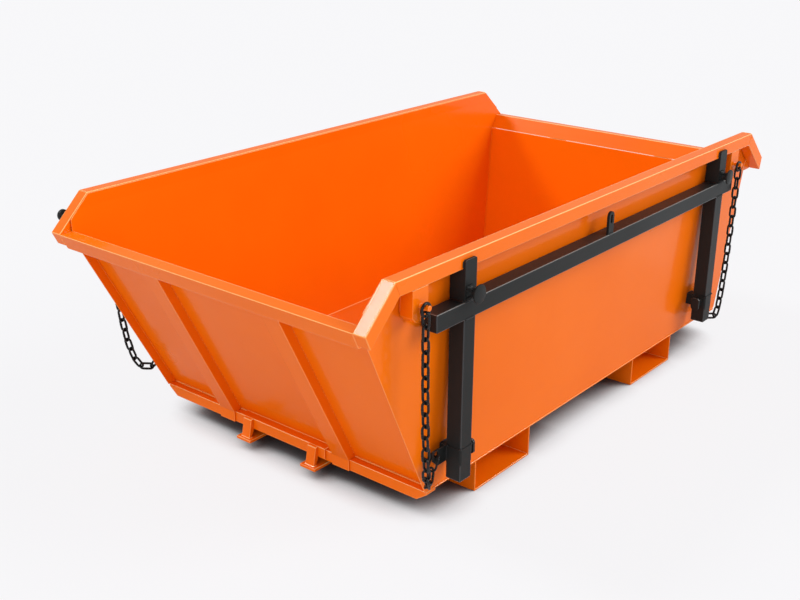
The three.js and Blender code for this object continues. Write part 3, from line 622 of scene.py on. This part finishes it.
def bar_beads(x):
    found = []
    for z in (BAR_UNDER - SEAM, BAR_TOP + SEAM):
        low = at(x - BAR_BEAD_HALF, -POST_FRONT, z)
        high = at(x + BAR_BEAD_HALF, -POST_FRONT, z)
        found.append(bead(low, high, BAR_BEAD))
        for edge in (-POST_SIDE, POST_SIDE):
            low = at(x + edge, -POST_FRONT + BAR_SIDE_SHORT, z)
            high = at(x + edge, -POST_BACK - BAR_SIDE_SHORT, z)
            found.append(bead(low, high, BAR_SIDE_BEAD))
    return found


# Upright beads on both sides of a post or its tongue
def upright_beads(x, y, span, radius):
    found = []
    for edge in (-POST_SIDE, POST_SIDE):
        found.append(bead(at(x + edge, y, span[0]), at(x + edge, y, span[1]), radius))
    return found


def spacer_beads(x):
    found = []
    for z in SPACER_HEIGHTS:
        y = -wall_outer(z) - SEAM
        found.append(bead(at(x - SPACER_BEAD_HALF, y, z), at(x + SPACER_BEAD_HALF, y, z), SPACER_BEAD))
    return found


# Tacks that hold the saddle
def saddle_tacks(x):
    found = []
    for side, (across, depth) in ((-1, SIDE_TACK), (-1, FRONT_TACK), (1, FRONT_TACK), (1, SIDE_TACK)):
        spot = at(x + side * across, -depth, ARM_TOP + SEAM)
        found.append(bead(spot - TACK_HALF, spot + TACK_HALF, TACK_BEAD, TACK_PITCH, TACK_WANDER))
    return found


# The cleat's stub to the post
def cleat_beads(x):
    found = []
    for z in CLEAT_HEIGHTS:
        low, high = (at(x, y, z) for y in CLEAT_SPAN)
        found.append(bead(low, high, CLEAT_BEAD))
    for y in CLEAT_ENDS:
        low, high = (at(x, y, z) for z in CLEAT_HEIGHTS)
        found.append(bead(low, high, CLEAT_END_BEAD))
    return found


frame_welds = []
for sign in (-1, 1):
    x = sign * POST_X
    frame_welds += bar_beads(x)
    frame_welds += upright_beads(x, -RIM_OUTER - TONGUE_OUT, TONGUE_SPAN, TONGUE_BEAD)
    frame_welds += spacer_beads(x)
    frame_welds += upright_beads(x, -POST_BACK - STAND_OFF_OUT, STAND_OFF_SPAN, STAND_OFF_BEAD)
    frame_welds += saddle_tacks(x)
    frame_welds += cleat_beads(x - sign * POST_SIDE)
# The lifting eye's foot
for y in EYE_SIDES:
    low, high = (at(x, y, BAR_TOP + SEAM) for x in EYE_SPAN)
    frame_welds.append(bead(low, high, EYE_BEAD))
both_sides("frame_weld_beads", joined(frame_welds), black_weld)

# Saddles: a thin plate folded round each post at its stand-off
SADDLE_INSIDE = 30.3
SADDLE_SKIN = 1.6
SADDLE_FOLD = 6.0
SADDLE_FOLD_SHARE = 0.3
SADDLE_FIT = 0.2
SADDLE_BACK = POST_BACK + 2.0


def saddle_outline(x, half, front):
    turn = SADDLE_FOLD * SADDLE_FOLD_SHARE
    points = [
        (-half, SADDLE_BACK),
        (-half, front - SADDLE_FOLD),
        (-half + turn, front - turn),
        (-half + SADDLE_FOLD, front),
    ]
    points += [(-across, depth) for across, depth in reversed(points)]
    return [(x + across, -depth) for across, depth in points]


def saddle(x):
    outer = saddle_outline(x, SADDLE_INSIDE + SADDLE_SKIN, POST_FRONT + SADDLE_SKIN)
    inner = saddle_outline(x, SADDLE_INSIDE, POST_FRONT + SADDLE_FIT)
    count = len(outer)
    saddle_vertices = []
    for z in (ARM_UNDER, ARM_TOP):
        for loop in (outer, inner):
            saddle_vertices += [at(px, py, z) for px, py in loop]
    saddle_faces = []
    for a in range(count - 1):
        b = a + 1
        c = a + 2 * count
        d = c + 1
        saddle_faces.append((a, b, d, c))
        saddle_faces.append((a + count, c + count, d + count, b + count))
        saddle_faces.append((a, a + count, b + count, b))
        saddle_faces.append((c, d, d + count, c + count))
    for i in (0, count - 1):
        corners = (i, i + 2 * count, i + 3 * count, i + count)
        saddle_faces.append(corners if i == 0 else corners[::-1])
    return saddle_vertices, saddle_faces


for sign, end_name in ((-1, "tipping"), (1, "plain")):
    both_sides(f"post_saddle_{end_name}", saddle(sign * POST_X), black, smooth=False)

# Beads of the rim mitres, lugs and pockets, in the tub's paint. For each end: where the straight rim
# ends, how far the bent rim runs on and how far it drops
RIM_ENDS = ((-1, 1268.0, 134.0, 130.0), (1, 1215.0, 150.0, 135.0))
MITRE_BEAD = 1.6
MITRE_PITCH = 3.0
MITRE_PROUD = 0.6
MITRE_SHORT = 4.0
MITRE_TOP_SHORT = 5.0
LUG_PLACES = (-1152.0, 1056.0)
LUG_SIDE = 37.0
LUG_BEAD = 2.6
LUG_FOOT = 846.0
LUG_HEAD = 918.0
LUG_FOOT_OUT = 0.5
LUG_HEAD_OUT = 2.5
LUG_TOP_BEAD = 2.4
LUG_TOP_SHORT = 6.0
LUG_TOP_DROP = 0.4
POCKET_SIDE = 175.5
POCKET_BEAD = 3.0
POCKET_SPAN = (-655.0, -2.0)
RIM_SEAM_BEAD = 1.8
RIM_SEAM_OUT = 1.0
RIM_SEAM_DROP = 2.2
RIM_SEAM_SPAN = (-1260.0, 1208.0)


def mitre_beads(sign, straight, run, drop):
    mitre = math.tan(math.atan2(drop, run) / 2)
    top_x = sign * straight
    low_x = sign * (straight - (RIM_TOP - RIM_UNDER) * mitre)
    face_y = -RIM_OUTER + MITRE_PROUD
    high = at(top_x, face_y, RIM_TOP - MITRE_SHORT)
    low = at(low_x, face_y, RIM_UNDER + MITRE_SHORT)
    outer = at(top_x, -RIM_OUTER + MITRE_TOP_SHORT, RIM_TOP - MITRE_PROUD)
    inner = at(top_x, -RIM_INNER - MITRE_TOP_SHORT, RIM_TOP - MITRE_PROUD)
    return [bead(high, low, MITRE_BEAD, MITRE_PITCH), bead(outer, inner, MITRE_BEAD, MITRE_PITCH)]


def lug_beads(centre):
    found = []
    for x in (centre - LUG_SIDE, centre + LUG_SIDE):
        foot = at(x, -RIM_INNER - LUG_FOOT_OUT, LUG_FOOT)
        head = at(x, -RIM_INNER - LUG_HEAD_OUT, LUG_HEAD)
        found.append(bead(foot, head, LUG_BEAD))
        outer = at(x, -RIM_OUTER + LUG_TOP_SHORT, RIM_UNDER - LUG_TOP_DROP)
        inner = at(x, -RIM_INNER - LUG_TOP_SHORT, RIM_UNDER - LUG_TOP_DROP)
        found.append(bead(outer, inner, LUG_TOP_BEAD))
    return found


def pocket_beads(centre):
    found = []
    for x in (centre - POCKET_SIDE, centre + POCKET_SIDE):
        low, high = (at(x, y, FLOOR_UNDER - SEAM) for y in POCKET_SPAN)
        found.append(bead(low, high, POCKET_BEAD, LONG_PITCH))
    return found


side_welds = []
for rim_end in RIM_ENDS:
    side_welds += mitre_beads(*rim_end)
for centre in LUG_PLACES:
    side_welds += lug_beads(centre)
for centre in POCKETS:
    side_welds += pocket_beads(centre)
# Between the rim and the side wall, along the top inside
low, high = (at(x, -RIM_INNER - RIM_SEAM_OUT, RIM_TOP - RIM_SEAM_DROP) for x in RIM_SEAM_SPAN)
side_welds.append(bead(low, high, RIM_SEAM_BEAD, LONG_PITCH))
both_sides("side_weld_beads", joined(side_welds), orange_weld)


# Trunnions: a flange with its bead, a turned pin and a disc with softened edges. The small tables say
# how each rounding stands off the radius and the face that it belongs to
AXIS = 0.01
FLANGE_SEAT = 0.3
FLANGE_RADIUS = 22.0
FLANGE_FRONT = 5.0
FLANGE_EDGE = ((-0.8, -4.7), (0.0, -4.0), (0.0, -0.8), (-0.8, 0.0))
TRUNNION_PIN = 15.0
PIN_THROAT = ((3.5, 1.5), (1.4, 3.6), (0.4, 5.5), (0.0, 7.5))
DISC_BACK = 31.0
DISC_THROAT = ((0.0, -2.8), (0.8, -0.8), (2.4, 0.0))
DISC_RADIUS = 32.0
DISC_BACK_EDGE = ((-1.4, 0.0), (-0.4, 0.5), (0.0, 1.4))
DISC_FRONT = 36.9
DISC_FRONT_EDGE = ((0.0, -1.5), (-0.5, -0.5), (-1.6, 0.0))
TRUNNION_SIDES = 48
COLLAR_RADIUS = 22.4
COLLAR_OUT = 1.2
COLLAR_BEAD = 3.2
COLLAR_STEPS = 56
BRACE_FOOT = 26.0
BRACE_FOOT_RISE = 24.0
BRACE_HEAD = 11.0
BRACE_BEAD = 4.6
BRACE_SECOND_BEAD = 4.2
BRACE_PITCH = 7.0
BRACE_WANDER = 0.5
BRACE_SHIFT = 6.0
BRACE_LIFT = 4.0
BRACE_DROP = 3.0


def rounding(edge, radius, face):
    return [(radius + out, face + along) for out, along in edge]


def trunnion_profile():
    profile = [(AXIS, FLANGE_SEAT)]
    profile += rounding(FLANGE_EDGE, FLANGE_RADIUS, FLANGE_FRONT)
    profile += rounding(PIN_THROAT, TRUNNION_PIN, FLANGE_FRONT)
    profile += rounding(DISC_THROAT, TRUNNION_PIN, DISC_BACK)
    profile += rounding(DISC_BACK_EDGE, DISC_RADIUS, DISC_BACK)
    profile += rounding(DISC_FRONT_EDGE, DISC_RADIUS, DISC_FRONT)
    profile.append((AXIS, DISC_FRONT))
    return [(radius * MM, along * MM) for radius, along in profile]


# Two rough runs of weld that brace the pin's foot on the tongue
def brace_beads(x):
    found = []
    for rise in (-1, 1):
        outer = at(x - BRACE_FOOT, -POST_FRONT - SEAM, TRUNNION_Z + rise * BRACE_FOOT_RISE)
        inner = at(x - BRACE_HEAD, -POST_FRONT - BRACE_HEAD, TRUNNION_Z + rise * BRACE_HEAD)
        found.append(bead(outer, inner, BRACE_BEAD, BRACE_PITCH, BRACE_WANDER))
        outer += Vector((BRACE_SHIFT, 0.0, 0.0)) * MM
        inner += Vector((0.0, -BRACE_LIFT, -BRACE_DROP * rise)) * MM
        found.append(bead(outer, inner, BRACE_SECOND_BEAD, BRACE_PITCH, BRACE_WANDER))
    return found


def trunnion(x):
    origin = at(x, -POST_FRONT, TRUNNION_Z)
    turned = lathe(trunnion_profile(), origin, -OUTWARD, TRUNNION_SIDES)
    rounds = []
    for i in range(COLLAR_STEPS):
        angle = 2 * math.pi * i / COLLAR_STEPS
        aside = Vector((math.cos(angle) * COLLAR_RADIUS, -COLLAR_OUT, math.sin(angle) * COLLAR_RADIUS))
        rounds.append(origin + aside * MM)
    sizes = [COLLAR_BEAD * MM * ripple_at(i) for i in range(COLLAR_STEPS)]
    collar = tube(rounds, sizes, BEAD_SIDES, True, OUTWARD)
    return joined([turned, collar, *brace_beads(x)])


for sign, end_name in ((-1, "tipping"), (1, "plain")):
    both_sides(
        f"turned_trunnion_{end_name}",
        trunnion(sign * POST_X),
        black,
        replaced=f"trunnion_{end_name}_{{side}}",
    )


# Chains: the same rigid links as the solids', with round wire. The solids' sizes come first
WIRE = 8.5
LINK_HALF = 25.5
SPACING = 43.5
RING_RADIUS = 19.0
SHACKLE_LENGTH = 50.0
SHACKLE_LEAN = 24.0
SHACKLE_HALF = 15.0
RING_Y = -770.0
RING_Z = 860.55
ARM_Y = -697.0
PIN_X = 996.0
PIN_Z = 273.95
SHACKLE_WIRE = 7.0
HANG_PLAY = 1.7
SLACK_SHARES = (1.08, 1.2)
SOLVER_STEPS = 80
LEAST_PULL = 1e-12
QUARTER = math.pi / 2
ROUND_WIRE = 9.0
ROUND_LINK_HALF = 25.8
ROUND_LINK_WIDTH = 33.4
LINK_TURN_STEPS = 8
LINK_SIDES = 10
BUTT_PLACES = (-3.0, -1.5, 0.0, 1.5, 3.0)
BUTT_SHARES = (0.98, 1.1, 1.14, 1.1, 0.98)
ROUND_RING_RADIUS = 20.0
RING_WIRE_RADIUS = 5.0
RING_STEPS = 32
WIRE_SIDES = 12
BOW_RADIUS = 3.6
BOW_TURN_STEPS = 12
BOW_END = 2.0
SHACKLE_PIN_PAST = 3.5
SHACKLE_PIN_RADIUS = 4.0
SHACKLE_PIN_TIP = 3.4
SHACKLE_PIN_EDGE = 0.7
EAR_IN = 3.2
EAR_PROFILE = ((7.4, 0.0), (8.2, 0.8), (8.2, 5.2), (7.2, 6.2))
HEAD_PROFILE = ((6.8, 0.0), (7.4, 0.5), (7.4, 1.4), (6.4, 2.0))
HEAD_SEAT_SHARE = 0.99
TURNED_SIDES = 20
HEAD_SIDES = 6


def halve(low, high, is_low):
    for _ in range(SOLVER_STEPS):
        middle = (low + high) / 2
        if is_low(middle):
            low = middle
        else:
            high = middle
    return low


# The joints of a hanging chain of rigid links: the pull across is the same in every link, and the load
# falls by one link's weight from each link to the next
def hanging_chain(top, foot, lengths):
    across = Vector((foot.x - top.x, foot.y - top.y, 0.0))
    span = across.length
    across.normalize()
    count = len(lengths)

    def steps(pull, lift):
        found = []
        for i, length in enumerate(lengths):
            load = lift - i - 0.5
            size = length / math.hypot(pull, load)
            found.append((pull * size, -load * size))
        return found

    rise = foot.z - top.z

    def lift_for(pull):
        return halve(-count, 2 * count, lambda lift: sum(s[1] for s in steps(pull, lift)) > rise)

    def is_short(pull):
        return sum(s[0] for s in steps(pull, lift_for(pull))) < span

    pull = halve(LEAST_PULL, count * count, is_short)
    points = [top]
    for x, z in steps(pull, lift_for(pull)):
        point = points[-1] + across * x
        point.z += z
        points.append(point)
    return points


def link(centre, along, wide):
    end_radius = (ROUND_LINK_WIDTH - ROUND_WIRE) / 2
    straight = ROUND_LINK_HALF - end_radius
    path = []
    for sign in (1, -1):
        for i in range(LINK_TURN_STEPS + 1):
            angle = math.pi * i / LINK_TURN_STEPS
            aside = wide * (sign * end_radius * math.cos(angle))
            onward = along * (sign * (straight + end_radius * math.sin(angle)))
            path.append(centre + aside + onward)
    up = along.cross(wide).normalized()
    loop = tube(path, ROUND_WIRE / 2, LINK_SIDES, True, up)
    # The butt weld of the link, halfway along one side
    middle = centre - wide * end_radius
    places = [middle + along * t for t in BUTT_PLACES]
    sizes = [ROUND_WIRE / 2 * share for share in BUTT_SHARES]
    return joined([loop, tube(places, sizes, LINK_SIDES, False, up)])


def scaled_to_metres(shape):
    vertices, faces = shape
    return [at(v.x, v.y, v.z) for v in vertices], faces


# The middle of the shackle's pin in the arm's hole, and the way that the shackle leans
def shackle_place(sign):
    lean = math.hypot(SHACKLE_LENGTH, SHACKLE_LEAN)
    pin = Vector((sign * PIN_X, ARM_Y, PIN_Z))
    down_way = Vector((sign * SHACKLE_LEAN / lean, 0.0, -SHACKLE_LENGTH / lean))
    return pin, down_way


# The turn about a link's direction at which its wide side looks the wished way
def angle_of(direction, normal, wish):
    side = direction.cross(normal)
    return math.atan2(wish.dot(side), wish.dot(normal))


def stowed_chain(sign, lug_x, share):
    pin, down_way = shackle_place(sign)
    top = Vector((lug_x, RING_Y, RING_Z - RING_RADIUS))
    foot = pin + down_way * SHACKLE_LENGTH
    base_seat = SPACING / 2 + LINK_HALF - WIRE / 2 - HANG_PLAY
    first_seat = base_seat - WIRE * math.sqrt(0.5)
    last_seat = base_seat - SHACKLE_WIRE * math.sqrt(0.5)
    wished = round((top - foot).length * share / SPACING)

    def hang(between):
        return hanging_chain(top, foot, [first_seat] + [SPACING] * between + [last_seat])

    def slope(points):
        return min(abs(points[i + 1].z - points[i].z) for i in range(len(points) - 1))

    points = min((hang(wished), hang(wished - 1)), key=slope)
    count = len(points) - 1
    along = [(points[i + 1] - points[i]).normalized() for i in range(count)]
    normal = Vector((foot.y - top.y, top.x - foot.x, 0.0)).normalized()
    first = angle_of(along[0], normal, Vector((0, 1, 0)))
    wished_turn = angle_of(along[-1], normal, Vector((1, 0, 0))) - ((count - 1) % 2) * QUARTER
    last = wished_turn - math.pi * round((wished_turn - first) / math.pi)
    parts = []
    for i, direction in enumerate(along):
        end = points[1] if i == 0 else points[i]
        centre = end + direction * (SPACING / 2 * (-1 if i == 0 else 1))
        turn = first + (last - first) * i / (count - 1) + (i % 2) * QUARTER
        side = direction.cross(normal)
        wide = (normal * math.cos(turn) + side * math.sin(turn)).normalized()
        parts.append(link(centre, direction, wide))
    return joined(parts)


def ring_shape(lug_x):
    centre = Vector((lug_x, RING_Y, RING_Z))
    path = []
    for i in range(RING_STEPS):
        angle = 2 * math.pi * i / RING_STEPS
        path.append(centre + ROUND_RING_RADIUS * Vector((math.cos(angle), 0.0, math.sin(angle))))
    return tube(path, RING_WIRE_RADIUS, WIRE_SIDES, True, OUTWARD)


def shackle_shape(sign):
    pin, down_way = shackle_place(sign)
    aside = OUTWARD * SHACKLE_HALF
    straight = SHACKLE_LENGTH - SHACKLE_HALF
    path = [pin + aside - down_way * BOW_END, pin + aside + down_way * straight * 0.5]
    for i in range(BOW_TURN_STEPS + 1):
        angle = math.pi * i / BOW_TURN_STEPS
        onward = down_way * (straight + SHACKLE_HALF * math.sin(angle))
        path.append(pin + aside * math.cos(angle) + onward)
    path += [pin - aside + down_way * straight * 0.5, pin - aside - down_way * BOW_END]
    bow = tube(path, BOW_RADIUS, WIRE_SIDES, False, down_way.cross(OUTWARD).normalized())
    reach = SHACKLE_HALF + SHACKLE_PIN_PAST
    pin_profile = [
        (SHACKLE_PIN_TIP, 0.0),
        (SHACKLE_PIN_RADIUS, SHACKLE_PIN_EDGE),
        (SHACKLE_PIN_RADIUS, 2 * reach - SHACKLE_PIN_EDGE),
        (SHACKLE_PIN_TIP, 2 * reach),
    ]
    pin_body = lathe(pin_profile, pin - OUTWARD * reach, OUTWARD, TURNED_SIDES)
    ears = []
    for side in (-1, 1):
        start = pin + OUTWARD * (side * (SHACKLE_HALF - EAR_IN))
        ears.append(lathe(EAR_PROFILE, start, OUTWARD * side, TURNED_SIDES))
    head = lathe(HEAD_PROFILE, pin + OUTWARD * reach * HEAD_SEAT_SHARE, OUTWARD, HEAD_SIDES)
    return joined([bow, pin_body, *ears, head])


for sign, end_name, lug_x, share in zip((-1, 1), ("tipping", "plain"), LUG_PLACES, SLACK_SHARES):
    body = f"hung_chain_{end_name}_{{side}}"
    for kind, shape in (
        ("ring", ring_shape(lug_x)),
        ("chain", stowed_chain(sign, lug_x, share)),
        ("shackle", shackle_shape(sign)),
    ):
        both_sides(
            f"round_{kind}_{end_name}",
            scaled_to_metres(shape),
            chain_black,
            body,
            f"{kind}_{end_name}_{{side}}",
        )

# A black stop with a rounded head, on the outside of the far rim's sloping end
STOP_X = -1322.0
STOP_Z = 884.0
STOP_SINK = 1.0
STOP_SIDES = 32
STOP_PROFILE = (
    (AXIS, 0.0),
    (15.0, 0.0),
    (15.0, 3.0),
    (11.0, 5.0),
    (11.0, 22.0),
    (19.0, 25.0),
    (22.0, 29.0),
    (22.0, 41.0),
    (20.0, 44.0),
    (15.0, 46.0),
    (AXIS, 46.0),
)
stop_profile = [(radius * MM, along * MM) for radius, along in STOP_PROFILE]
stop_seat = at(STOP_X, RIM_OUTER - STOP_SINK, STOP_Z)
stop_vertices, stop_faces = lathe(stop_profile, stop_seat, OUTWARD, STOP_SIDES)
make_piece("rim_stop_far", stop_vertices, stop_faces, black, "skip")

# Floor
FLOOR_REACH = 60.0
floor_mesh = bpy.data.meshes.new("floor")
floor_corners = [(x * FLOOR_REACH, y * FLOOR_REACH, 0) for x, y in ((-1, -1), (1, -1), (1, 1), (-1, 1))]
floor_mesh.from_pydata(floor_corners, [], [(0, 1, 2, 3)])
floor = bpy.data.objects.new("floor", floor_mesh)
scene.collection.objects.link(floor)
floor_material, floor_tree, floor_shader = new_material("studio_floor")
floor_shader.inputs["Roughness"].default_value = 0.75
floor_shader.inputs["Specular IOR Level"].default_value = 0.2
floor_glow = floor_tree.nodes.new("ShaderNodeEmission")
floor_glow.inputs["Color"].default_value = (0.945, 0.94, 0.955, 1.0)
floor_rays = floor_tree.nodes.new("ShaderNodeLightPath")
# The open floor is lit evenly to a pale tone, and under the object, where the floor is closed in, its
# colour darkens to a painted shade on top of the real shadow
floor_open = floor_tree.nodes.new("ShaderNodeAmbientOcclusion")
floor_open.samples = 32
floor_open.inputs["Distance"].default_value = 0.26
openness = floor_open.outputs["AO"]
floor_glow_share = spread(floor_tree, openness, low=0.3, high=0.72, out_low=0.0, out_high=0.9)
# Painted shade: the floor's own colour turns dark where little is open round it
floor_painted_shade = spread(floor_tree, openness, low=0.15, high=0.7, out_low=0.0, out_high=1.0)
floor_colour = mix_colour(floor_tree, floor_painted_shade, (0.06, 0.065, 0.07, 1.0), (0.72, 0.74, 0.77, 1.0))
floor_tree.links.new(floor_colour, floor_shader.inputs["Base Color"])
floor_share = floor_tree.nodes.new("ShaderNodeMath")
floor_share.operation = "MULTIPLY"
floor_tree.links.new(floor_rays.outputs["Is Camera Ray"], floor_share.inputs[0])
floor_tree.links.new(floor_glow_share, floor_share.inputs[1])
floor_mix = floor_tree.nodes.new("ShaderNodeMixShader")
floor_tree.links.new(floor_share.outputs[0], floor_mix.inputs[0])
floor_tree.links.new(floor_shader.outputs["BSDF"], floor_mix.inputs[1])
floor_tree.links.new(floor_glow.outputs[0], floor_mix.inputs[2])
floor_out = next(node for node in floor_tree.nodes if node.type == "OUTPUT_MATERIAL")
floor_tree.links.new(floor_mix.outputs[0], floor_out.inputs["Surface"])
floor_mesh.materials.append(floor_material)

# Even studio light, with a pale backdrop that only the camera sees
world = bpy.data.worlds.new("studio")
scene.world = world
world.use_nodes = True
world_tree = world.node_tree
world_tree.nodes.clear()
world_out = world_tree.nodes.new("ShaderNodeOutputWorld")
ambient = world_tree.nodes.new("ShaderNodeBackground")
ambient.inputs["Color"].default_value = (1.0, 1.0, 1.0, 1.0)
ambient.inputs["Strength"].default_value = 0.5
backdrop = world_tree.nodes.new("ShaderNodeBackground")
backdrop.inputs["Color"].default_value = (0.93, 0.93, 0.945, 1.0)
backdrop.inputs["Strength"].default_value = 1.0
rays = world_tree.nodes.new("ShaderNodeLightPath")
choose = world_tree.nodes.new("ShaderNodeMixShader")
world_tree.links.new(rays.outputs["Is Camera Ray"], choose.inputs[0])
world_tree.links.new(ambient.outputs[0], choose.inputs[1])
world_tree.links.new(backdrop.outputs[0], choose.inputs[2])
world_tree.links.new(choose.outputs[0], world_out.inputs["Surface"])


# Soft light from far away, on the side that toward points to
def distant(name, toward, strength, angle):
    data = bpy.data.lights.new(name, "SUN")
    data.energy = strength
    data.angle = math.radians(angle)
    lamp = bpy.data.objects.new(name, data)
    lamp.rotation_euler = (-Vector(toward)).to_track_quat("-Z", "Y").to_euler()
    scene.collection.objects.link(lamp)


distant("key", toward=(0.55, -0.70, 0.55), strength=1.8, angle=35)
distant("top_highlight", toward=(-0.35, 0.60, 0.715), strength=1.35, angle=13)
distant("end_fill", toward=(-0.85, -0.25, 0.46), strength=0.7, angle=40)
